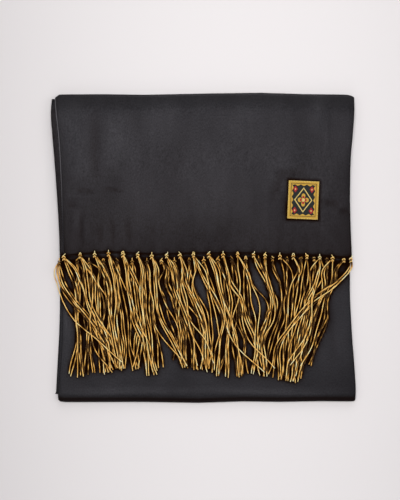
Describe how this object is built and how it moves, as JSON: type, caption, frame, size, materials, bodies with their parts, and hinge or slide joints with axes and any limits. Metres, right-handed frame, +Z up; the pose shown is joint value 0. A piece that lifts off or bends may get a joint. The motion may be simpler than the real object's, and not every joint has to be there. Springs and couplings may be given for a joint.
{
  "type": "silk scarf",
  "caption": "Black silk dress scarf folded flat, with two rows of knotted gold cord fringe and a woven label.",
  "frame": {"origin": "middle of the folded scarf's footprint, on the surface that it lies on", "axes": "+Z up from the surface, +Y from the fringe towards the top fold, +X to the right in the picture"},
  "size_m": [0.305, 0.3104, 0.0162],
  "materials": {
    "silk": "satin",
    "cord": "satin",
    "woven_label": "woven"
  },
  "bodies": {
    "root": {"back_panel": "silk", "hidden_layers": "silk", "lower_panel": "silk", "under_panel": "silk", "front_panel": "silk", "label": "woven_label", "front_tassel_01": "cord", "front_tassel_02": "cord", "front_tassel_03": "cord", "front_tassel_04": "cord", "front_tassel_05": "cord", "front_tassel_06": "cord", "front_tassel_07": "cord", "front_tassel_08": "cord", "front_tassel_09": "cord", "front_tassel_10": "cord", "front_tassel_11": "cord", "front_tassel_12": "cord", "front_tassel_13": "cord", "front_tassel_14": "cord", "front_tassel_15": "cord", "front_tassel_16": "cord", "front_tassel_17": "cord", "front_tassel_18": "cord", "front_tassel_19": "cord", "front_tassel_20": "cord", "front_tassel_21": "cord", "under_tassel_01": "cord", "under_tassel_02": "cord", "under_tassel_03": "cord", "under_tassel_04": "cord", "under_tassel_05": "cord", "under_tassel_06": "cord", "under_tassel_07": "cord", "under_tassel_08": "cord", "under_tassel_09": "cord", "under_tassel_10": "cord", "under_tassel_11": "cord", "under_tassel_12": "cord", "under_tassel_13": "cord", "under_tassel_14": "cord", "under_tassel_15": "cord", "under_tassel_16": "cord", "under_tassel_17": "cord", "under_tassel_18": "cord", "under_tassel_19": "cord", "under_tassel_20": "cord", "under_tassel_21": "cord"}
  },
  "joints": []
}
